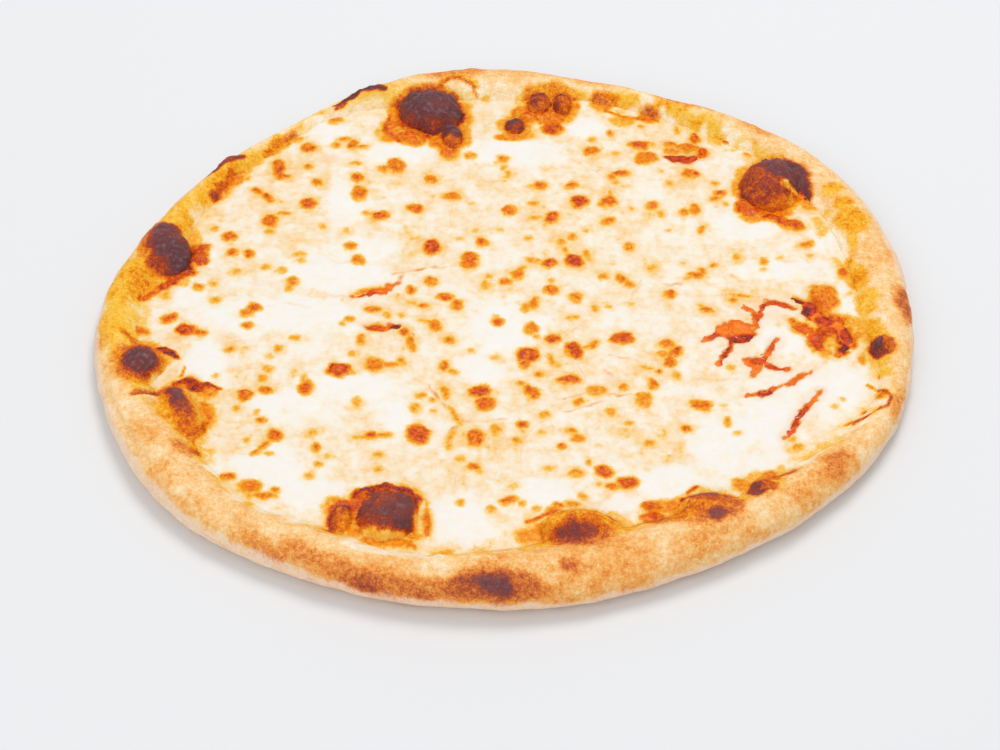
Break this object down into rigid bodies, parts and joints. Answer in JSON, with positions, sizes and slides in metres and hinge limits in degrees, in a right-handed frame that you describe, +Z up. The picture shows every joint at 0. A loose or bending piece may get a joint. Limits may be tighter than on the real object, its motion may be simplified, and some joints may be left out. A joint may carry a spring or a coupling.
{
  "type": "margherita pizza",
  "caption": "Whole round pizza with a puffed, charred rim of baked dough, a thin layer of tomato sauce and a sheet of melted mozzarella torn open in places.",
  "frame": {"origin": "on the flat underside, at the centre of the pizza's box", "axes": "+Z up through the toppings, +X along the longer diameter, -Y towards the wide front of the rim"},
  "size_m": [0.3228, 0.3014, 0.0195],
  "materials": {
    "baked_dough": "matt baked wheat dough, pale gold with flour on the outside, scorched brown to black on its bubbles",
    "tomato_sauce": "wet cooked tomato, orange red, with an oily gloss",
    "melted_mozzarella": "melted cheese, cream white with a soft gloss, browned in small spots"
  },
  "bodies": {
    "root": {"crust": "baked_dough", "tomato_sauce": "tomato_sauce", "mozzarella": "melted_mozzarella"}
  },
  "joints": []
}
